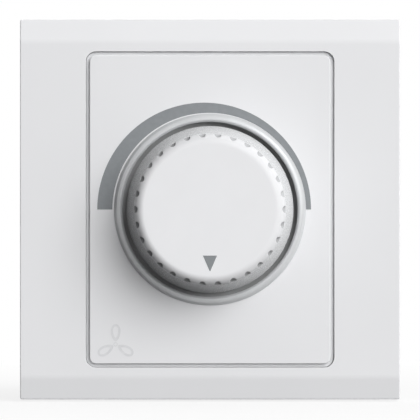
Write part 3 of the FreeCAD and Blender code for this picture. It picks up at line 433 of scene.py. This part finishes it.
def new_material(name):
    """A new material with its tree, its shader and the Object coordinates."""
    material = bpy.data.materials.new(name)
    material.use_nodes = True
    tree = material.node_tree
    shader = tree.nodes["Principled BSDF"]
    place = tree.nodes.new("ShaderNodeTexCoord")
    return material, tree, shader, place.outputs["Object"]


def shade(colour, amount):
    """A darker or lighter share of a colour, never above full white."""
    return tuple(min(part * amount, 1.0) for part in colour)


def noise(tree, place, scale, detail=3.0):
    """Cloudy noise, mostly between the low and the high value, with scale spots to a metre."""
    made = tree.nodes.new("ShaderNodeTexNoise")
    made.inputs["Scale"].default_value = scale
    made.inputs["Detail"].default_value = detail
    made.inputs["Roughness"].default_value = 0.5
    tree.links.new(place, made.inputs["Vector"])
    return made.outputs["Fac"]


def stretched(tree, place, scale):
    """The place with each coordinate multiplied by its own share of the scale."""
    made = tree.nodes.new("ShaderNodeMapping")
    made.inputs["Scale"].default_value = scale
    tree.links.new(place, made.inputs["Vector"])
    return made.outputs["Vector"]


def spread(tree, value, low, high, start=LOW_NOISE, end=HIGH_NOISE):
    """The value between start and end, spread evenly from low to high."""
    made = tree.nodes.new("ShaderNodeMapRange")
    ends = (("From Min", start), ("From Max", end), ("To Min", low), ("To Max", high))
    for name, number in ends:
        made.inputs[name].default_value = number
    tree.links.new(value, made.inputs["Value"])
    return made.outputs["Result"]


def tones(tree, value, stops):
    """A run of colours along a value."""
    made = tree.nodes.new("ShaderNodeValToRGB")
    ramp = made.color_ramp
    while len(ramp.elements) < len(stops):
        ramp.elements.new(0.5)
    for element, (place, colour) in zip(ramp.elements, stops):
        element.position = place
        element.color = (*colour, 1)
    tree.links.new(value, made.inputs["Fac"])
    return made.outputs["Color"]


def drifting(tree, cloud, colour, darker, lighter, low=LOW_NOISE, high=HIGH_NOISE):
    """One colour that drifts between a darker and a lighter share of itself."""
    return tones(tree, cloud, [(low, shade(colour, darker)), (high, shade(colour, lighter))])


def joined(tree, operation, first, second):
    """Two values joined by one sum."""
    made = tree.nodes.new("ShaderNodeMath")
    made.operation = operation
    for socket, value in zip(made.inputs, (first, second)):
        if isinstance(value, float):
            socket.default_value = value
        else:
            tree.links.new(value, socket)
    return made.outputs[0]


def distance(tree, place):
    """How far a place is from the origin."""
    made = tree.nodes.new("ShaderNodeVectorMath")
    made.operation = "LENGTH"
    tree.links.new(place, made.inputs[0])
    return made.outputs["Value"]


def two_tone(tree, cloud, share, first, second, drift):
    """From one colour to another along a share from nought to one, each with a slow drift.

    The share counts for six tenths and the cloud for four, so a cloud of 0.3 to 0.7 covers 0.12 to
    0.28 on the first colour and 0.72 to 0.88 on the second.
    """
    first_part = joined(tree, "MULTIPLY", share, 0.6)
    second_part = joined(tree, "MULTIPLY", cloud, 0.4)
    return tones(tree, joined(tree, "ADD", first_part, second_part), [
        (0.12, shade(first, 1 - drift)), (0.28, shade(first, 1 + drift / 2)),
        (0.72, shade(second, 1 - drift)), (0.88, shade(second, 1 + drift / 2)),
    ])


def bump(tree, shader, height, strength, depth, soft_edge=0.0):
    """Fine relief from a height, over edges softened by a small radius, both in metres."""
    made = tree.nodes.new("ShaderNodeBump")
    made.inputs["Strength"].default_value = strength
    made.inputs["Distance"].default_value = depth
    tree.links.new(height, made.inputs["Height"])
    if soft_edge:
        edge = tree.nodes.new("ShaderNodeBevel")
        edge.samples = 6
        edge.inputs["Radius"].default_value = soft_edge
        tree.links.new(edge.outputs["Normal"], made.inputs["Normal"])
    tree.links.new(made.outputs["Normal"], shader.inputs["Normal"])


def paint(tree, shader, colour, roughness):
    """Give the shader its colour and its roughness."""
    tree.links.new(colour, shader.inputs["Base Color"])
    tree.links.new(roughness, shader.inputs["Roughness"])


def moulded(
    name, colour, roughness, grain=2600.0, relief=0.06, soft_edge=0.0002, drift=0.03,
    seam_shade=None, seam_shade_level=0.0,
):
    """Moulded plastic: slow drift of tone, and the fine grain of a spark-worn mould.

    Where a seam shade colour is given, it is painted shade on all that is nearer to the wall than its
    level, darkening the floor of the seam.
    """
    material, tree, shader, place = new_material(name)
    slow = noise(tree, place, 45.0, 2.0)
    fine = noise(tree, place, grain, 2.0)
    if seam_shade:
        parts = tree.nodes.new("ShaderNodeSeparateXYZ")
        tree.links.new(place, parts.inputs["Vector"])
        border, blend = -seam_shade_level * MM, 0.1 * MM
        sunk = spread(tree, parts.outputs["Y"], 0.0, 1.0, border - blend, border + blend)
        tint = two_tone(tree, slow, sunk, colour, seam_shade, drift)
    else:
        tint = drifting(tree, slow, colour, 1 - drift, 1 + drift / 2)
    paint(tree, shader, tint, spread(tree, fine, roughness - 0.05, roughness + 0.07))
    bump(tree, shader, fine, relief, 0.00003, soft_edge)
    return material


def metal(name, colour, roughness, stretch=(1, 1, 1), grain=2200.0):
    """Metal with grain drawn out along one way, as turning, rolling or plating leaves it."""
    material, tree, shader, place = new_material(name)
    lines = noise(tree, stretched(tree, place, stretch), grain)
    cloud = noise(tree, place, 160.0)
    tint = drifting(tree, cloud, colour, 0.93, 1.03)
    paint(tree, shader, tint, spread(tree, lines, roughness - 0.08, roughness + 0.1))
    shader.inputs["Metallic"].default_value = 1.0
    bump(tree, shader, lines, 0.08, 0.00002, 0.0002)
    return material


def zoned(name, inner, outer, edge, blend, roughness, metallic=0.0, matt=0.0, drift=0.05):
    """Two tones about the knob's axis: one inside a radius, the other outside it.

    The metallic share belongs to the outer tone. The border is twice the blend wide. The cap's darker
    outer tone and the ring's darker inner tone are painted shade.
    """
    material, tree, shader, place = new_material(name)
    away = distance(tree, stretched(tree, place, (1, 0, 1)))
    share = spread(tree, away, 0.0, 1.0, (edge - blend) * MM, (edge + blend) * MM)
    cloud = noise(tree, place, 160.0)
    fine = noise(tree, place, 5200.0)
    tint = two_tone(tree, cloud, share, inner, outer, drift)
    paint(tree, shader, tint, spread(tree, fine, roughness - 0.05, roughness + 0.07))
    if metallic:
        part_metal = spread(tree, share, 0.0, metallic, 0.0, 1.0)
        tree.links.new(part_metal, shader.inputs["Metallic"])
    shader.inputs["Specular IOR Level"].default_value = 0.02
    shader.inputs["Diffuse Roughness"].default_value = matt
    bump(tree, shader, fine, 0.03, 0.00002)
    return material


def ink(name, colour):
    """Screen ink: a thin even coat with a slight mottle."""
    material, tree, shader, place = new_material(name)
    mottle = noise(tree, place, 900.0)
    tint = drifting(tree, mottle, colour, 0.95, 1.04)
    paint(tree, shader, tint, spread(tree, mottle, 0.42, 0.55))
    bump(tree, shader, mottle, 0.05, 0.00001)
    return material


def laminate(name, colour):
    """Pressed board: crossed threads of the filler under the resin."""
    material, tree, shader, place = new_material(name)
    warp = noise(tree, stretched(tree, place, (0.15, 1, 1)), 3000.0, 1.0)
    weft = noise(tree, stretched(tree, place, (1, 1, 0.15)), 3000.0, 1.0)
    cross = joined(tree, "MAXIMUM", warp, weft)
    tint = drifting(tree, cross, colour, 0.85, 1.1, 0.4, 0.65)
    paint(tree, shader, tint, spread(tree, warp, 0.4, 0.55))
    bump(tree, shader, cross, 0.1, 0.00003)
    return material


def wound_wire(name, colour, middle, turns):
    """Enamelled wire: turns counted by the angle about the choke's own axis, which runs along y."""
    material, tree, shader, place = new_material(name)
    centred = tree.nodes.new("ShaderNodeMapping")
    centred.inputs["Location"].default_value = middle
    centred.inputs["Rotation"].default_value = (-math.pi / 2, 0, 0)
    tree.links.new(place, centred.inputs["Vector"])
    around = tree.nodes.new("ShaderNodeTexGradient")
    around.gradient_type = "RADIAL"
    tree.links.new(centred.outputs["Vector"], around.inputs["Vector"])
    counted = joined(tree, "MULTIPLY", around.outputs["Fac"], turns)
    wire = joined(tree, "PINGPONG", counted, 0.5)
    # Painted shade and highlight: each turn is dark where turns meet and a little lighter on its
    # crown.
    tint = tones(tree, wire, [
        (0.0, shade(colour, 0.25)), (0.2, shade(colour, 0.8)), (0.5, shade(colour, 1.1)),
    ])
    paint(tree, shader, tint, spread(tree, noise(tree, place, 700.0), 0.25, 0.4))
    shader.inputs["Metallic"].default_value = 0.7
    bump(tree, shader, wire, 0.8, 0.0003)
    return material


def banded(name, colour, half_length, marks):
    """A coated body with colour rings along its length, which runs up z about the middle."""
    ring_width = 0.07
    material, tree, shader, place = new_material(name)
    parts = tree.nodes.new("ShaderNodeSeparateXYZ")
    tree.links.new(place, parts.inputs["Vector"])
    along = spread(tree, parts.outputs["Z"], 0.0, 1.0, -half_length * MM, half_length * MM)
    stops = [(0.0, colour)]
    for start, mark in marks:
        stops += [(start, mark), (start + ring_width, colour)]
    coat = tones(tree, along, stops)
    coat.node.color_ramp.interpolation = "CONSTANT"
    mottle = noise(tree, place, 1200.0)
    paint(tree, shader, coat, spread(tree, mottle, 0.38, 0.5))
    bump(tree, shader, mottle, 0.06, 0.00003)
    return material


def clear_glass(name):
    """Clear tube with the faint waviness of drawn glass."""
    material, tree, shader, place = new_material(name)
    wave = noise(tree, stretched(tree, place, (0.2, 1, 1)), 500.0, 2.0)
    tint = tones(tree, wave, [(LOW_NOISE, (0.93, 0.96, 0.96)), (HIGH_NOISE, (0.97, 0.98, 0.98))])
    paint(tree, shader, tint, spread(tree, wave, 0.02, 0.06))
    shader.inputs["Transmission Weight"].default_value = 1.0
    shader.inputs["IOR"].default_value = 1.5
    bump(tree, shader, wave, 0.03, 0.00005)
    return material


WHITE = (0.808, 0.811, 0.826)
white_plastic = moulded("white_plastic", WHITE, 0.42, soft_edge=0.00008, drift=0.012)
# Painted shade: the same white, darkened below the seam's floor level so that the seam around the
# insert reads dark.
seam_shade_plastic = moulded(
    "seam_shade_plastic", WHITE, 0.42, soft_edge=0.00008, drift=0.012,
    seam_shade=(0.72, 0.725, 0.735), seam_shade_level=SEAM_FLOOR + 0.3,
)
# Painted shade: the rounded rim is a shade darker than the face, to tone down its lit highlight.
cap_plastic = zoned(
    "cap_plastic", shade(WHITE, 1.08), shade(WHITE, 0.97), CAP_RADIUS - CAP_ROUND + 0.6, 0.8, 0.5,
    drift=0.01,
)
satin_silver = zoned(
    "satin_silver", (0.60, 0.605, 0.61), (0.735, 0.742, 0.752), CAP_RADIUS - 0.05, 0.05, 0.25,
    metallic=0.16, matt=0.8,
)
# Painted shade: the ring's inner wall and the ledge under the knob are a darker tone, so the gap
# around the knob reads dark.
ring_silver = zoned(
    "ring_silver", (0.50, 0.505, 0.51), (0.66, 0.67, 0.68), RING_OPENING - 0.05, 0.05, 0.36,
    metallic=0.22, matt=0.6,
)
grey_ink = ink("grey_ink", (0.232, 0.247, 0.259))
pale_ink = ink("pale_ink", (0.715, 0.72, 0.735))
NODE_FINISH = {
    "white_plastic": white_plastic,
    "cap_plastic": cap_plastic,
    "satin_silver": satin_silver,
    "support_plastic": moulded("support_plastic", (0.62, 0.62, 0.60), 0.55, soft_edge=0.0003),
    "housing_plastic": moulded(
        "housing_plastic", (0.022, 0.022, 0.024), 0.5, grain=1500.0, relief=0.2, soft_edge=0.0008,
    ),
    "screw_steel": metal("screw_steel", (0.62, 0.61, 0.58), 0.3, grain=900.0),
    "spring_steel": metal("spring_steel", (0.55, 0.56, 0.58), 0.28, (0.1, 1, 1)),
    "shaft_metal": metal("shaft_metal", (0.66, 0.66, 0.67), 0.3, (1, 8, 1)),
    "pot_metal": metal("pot_metal", (0.58, 0.57, 0.55), 0.35),
    "black_plastic": moulded("black_plastic", (0.018, 0.018, 0.018), 0.5),
    "wafer_board": laminate("wafer_board", (0.20, 0.10, 0.04)),
    "board_laminate": laminate("board_laminate", (0.30, 0.17, 0.06)),
    "capacitor_plastic": moulded("capacitor_plastic", (0.55, 0.30, 0.03), 0.3, soft_edge=0.0004),
    "resistor_body": banded("resistor_body", (0.46, 0.32, 0.17), 4.5, [
        (0.2, (0.18, 0.06, 0.02)),
        (0.35, (0.02, 0.02, 0.02)),
        (0.5, (0.6, 0.16, 0.02)),
        (0.75, (0.5, 0.36, 0.1)),
    ]),
    "fuse_glass": clear_glass("fuse_glass"),
    "sink_aluminium": metal("sink_aluminium", (0.62, 0.63, 0.64), 0.38, (1, 1, 0.08)),
    "core_coat": moulded("core_coat", (0.60, 0.44, 0.05), 0.35),
    "winding_copper": wound_wire(
        "winding_copper", (0.72, 0.30, 0.10), (0.0126, 0.0176, 0), 62.0,
    ),
    "fuse_metal": metal("fuse_metal", (0.68, 0.66, 0.58), 0.25),
    "terminal_plastic": moulded("terminal_plastic", (0.60, 0.60, 0.57), 0.5, soft_edge=0.0003),
    "terminal_brass": metal("terminal_brass", (0.72, 0.50, 0.18), 0.28, (1, 1, 0.1)),
}

SLOT_OF = {
    "cover_frame": "white_plastic",
    "centre_plate": "white_plastic",
    "knob_cap": "cap_plastic",
    "trim_ring": "satin_silver",
    "knob_skirt": "satin_silver",
    "knob_leaf": "spring_steel",
    "support_frame": "support_plastic",
    "fixing_screws": "screw_steel",
    "housing_screws": "screw_steel",
    "rear_housing": "housing_plastic",
    "pot_bushing": "pot_metal",
    "pot_case": "pot_metal",
    "track_wafer": "wafer_board",
    "pot_switch": "black_plastic",
    "pot_shaft": "shaft_metal",
    "pot_rotor": "black_plastic",
    "pot_nut": "pot_metal",
    "pot_washer": "pot_metal",
    "circuit_board": "board_laminate",
    "mains_capacitor": "capacitor_plastic",
    "timing_capacitor": "capacitor_plastic",
    "snubber_resistor": "resistor_body",
    "diac": "fuse_glass",
    "heat_sink": "sink_aluminium",
    "triac": "black_plastic",
    "triac_screw": "screw_steel",
    "choke_core": "core_coat",
    "choke_winding": "winding_copper",
    "fuse_tube": "fuse_glass",
    "fuse_caps": "fuse_metal",
    "fuse_clips": "fuse_metal",
    "terminal_block": "terminal_plastic",
    "terminal_clamps": "terminal_brass",
    "terminal_screws": "screw_steel",
}


def dress(piece, material):
    piece.data.materials.clear()
    piece.data.materials.append(material)


for node_name, node in nodes.items():
    dress(node, NODE_FINISH[SLOT_OF[node_name]])

# The insert's shoulder is the floor of the seam around it, so it carries painted shade that darkens
# the seam.
dress(nodes["centre_plate"], seam_shade_plastic)
dress(make_cap(), cap_plastic)
dress(make_skirt(), satin_silver)
dress(make_ring(), ring_silver)
left_screw = make_wall_screw("wall_screw_left", -SCREW_ACROSS, 0.0, ["fixing_screws"])
right_screw = make_wall_screw("wall_screw_right", SCREW_ACROSS, math.pi / 2)
dress(left_screw, NODE_FINISH["screw_steel"])
dress(right_screw, NODE_FINISH["screw_steel"])
dress(make_scale(), grey_ink)
dress(make_pointer(), grey_ink)
for part in make_fan_sign():
    dress(part, pale_ink)


# Studio: pale floor, white backdrop behind, one large soft lamp at the upper right, dim domes.

def straight_rays(tree):
    """One for rays from the eye, from gloss and through glass, nought for diffuse light."""
    rays = tree.nodes.new("ShaderNodeLightPath").outputs
    gloss = joined(tree, "MAXIMUM", rays["Is Glossy Ray"], rays["Is Transmission Ray"])
    return joined(tree, "MAXIMUM", rays["Is Camera Ray"], gloss)


def pale_stage(name, colour, near_share, far_share):
    """A pale surface that shows the eye, metal and glass its own white.

    Close to the part the share of white is lower, so that the part's shadow is seen there.
    """
    near_reach, far_reach = 0.07, 0.3
    material, tree, shader, place = new_material(name)
    tint = drifting(tree, noise(tree, place, 2.0), colour, 0.98, 1.0)
    tree.links.new(tint, shader.inputs["Base Color"])
    shader.inputs["Roughness"].default_value = 0.9
    fade = spread(tree, distance(tree, place), near_share, far_share, near_reach, far_reach)
    share = joined(tree, "MULTIPLY", straight_rays(tree), fade)
    white = tree.nodes.new("ShaderNodeEmission")
    white.inputs["Strength"].default_value = 1.0
    mix = tree.nodes.new("ShaderNodeMixShader")
    tree.links.new(share, mix.inputs["Fac"])
    tree.links.new(shader.outputs["BSDF"], mix.inputs[1])
    tree.links.new(white.outputs["Emission"], mix.inputs[2])
    tree.links.new(mix.outputs["Shader"], tree.nodes["Material Output"].inputs["Surface"])
    return material


def add_stage(name, corners, material):
    mesh = bpy.data.meshes.new(name)
    mesh.from_pydata(corners, [], [(0, 1, 2, 3)])
    made = bpy.data.objects.new(name, mesh)
    scene.collection.objects.link(made)
    made.data.materials.append(material)
    made.visible_diffuse = False
    made.visible_shadow = False


# The floor lies half a millimetre below the plate. All of these are metres.
FLOOR = -0.0435
SIDE, FRONT, BACK, HIGH = 4, -4, 3, 4
PALE = (0.97, 0.97, 0.97)
floor_paint = pale_stage("floor_paint", PALE, 0.75, 1.0)
backdrop_paint = pale_stage("backdrop_paint", PALE, 1.0, 1.0)
add_stage("floor", [
    (-SIDE, FRONT, FLOOR), (SIDE, FRONT, FLOOR), (SIDE, BACK, FLOOR), (-SIDE, BACK, FLOOR),
], floor_paint)
add_stage("backdrop", [
    (-SIDE, BACK, FLOOR), (SIDE, BACK, FLOOR), (SIDE, BACK, HIGH), (-SIDE, BACK, HIGH),
], backdrop_paint)


def aim(thing, target):
    """Turn a thing that looks down its own -z towards a target."""
    way = np.array(target, float) - np.array(thing.location, float)
    flat = math.hypot(way[0], way[1])
    thing.rotation_euler = (math.atan2(flat, -way[2]), 0, math.atan2(-way[0], way[1]))


def add_lamp(name, place, size, power):
    data = bpy.data.lights.new(name, "AREA")
    data.shape = "DISK"
    data.size = size
    data.energy = power
    lamp = bpy.data.objects.new(name, data)
    scene.collection.objects.link(lamp)
    lamp.location = place
    aim(lamp, (0, 0, 0))


LAMP_PLACE = (1.66, -2.43, 1.25)
LAMP_SIZE = 2.88
LAMP_POWER = 99.5
add_lamp("key_lamp", LAMP_PLACE, LAMP_SIZE, LAMP_POWER)

world = bpy.data.worlds.new("studio")
scene.world = world
world.use_nodes = True
sky = world.node_tree
sky_way = sky.nodes.new("ShaderNodeTexCoord").outputs["Generated"]


def dome(axis, strength, start, end):
    """Light from the half of the sky around an axis, with a soft border from start to end."""
    toward = sky.nodes.new("ShaderNodeVectorMath")
    toward.operation = "DOT_PRODUCT"
    toward.inputs[1].default_value = axis
    sky.links.new(sky_way, toward.inputs[0])
    return spread(sky, toward.outputs["Value"], 0.0, strength, start, end)


front = dome((0.69, -0.52, 0.51), 0.49, 0.1, 0.5)
behind = dome((0.0, 1.0, 0.0), 0.9, 0.08, 0.4)
glow = joined(sky, "MAXIMUM", joined(sky, "MAXIMUM", front, behind), straight_rays(sky))
sky.links.new(glow, sky.nodes["Background"].inputs["Strength"])
sky.nodes["Background"].inputs["Color"].default_value = (1, 1, 1, 1)

# Camera: straight on, far away, framed so that the plate covers 380 of 420 pixels.
PLATE_WIDTH = 0.086
PLATE_FRONT = -0.008
PLATE_PIXELS = 380
PICTURE_PIXELS = 420
DISTANCE = 1.2
SENSOR = 36
VIEW_WIDTH = PLATE_WIDTH * PICTURE_PIXELS / PLATE_PIXELS
camera = bpy.data.cameras.new("camera")
camera.sensor_width = SENSOR
camera.lens = SENSOR * DISTANCE / VIEW_WIDTH
camera.clip_start = 0.01
camera.clip_end = 50
camera.shift_y = -0.5 / PICTURE_PIXELS
viewer = bpy.data.objects.new("camera", camera)
scene.collection.objects.link(viewer)
viewer.location = (0, PLATE_FRONT - DISTANCE, 0)
viewer.rotation_euler = (math.pi / 2, 0, 0)
scene.camera = viewer
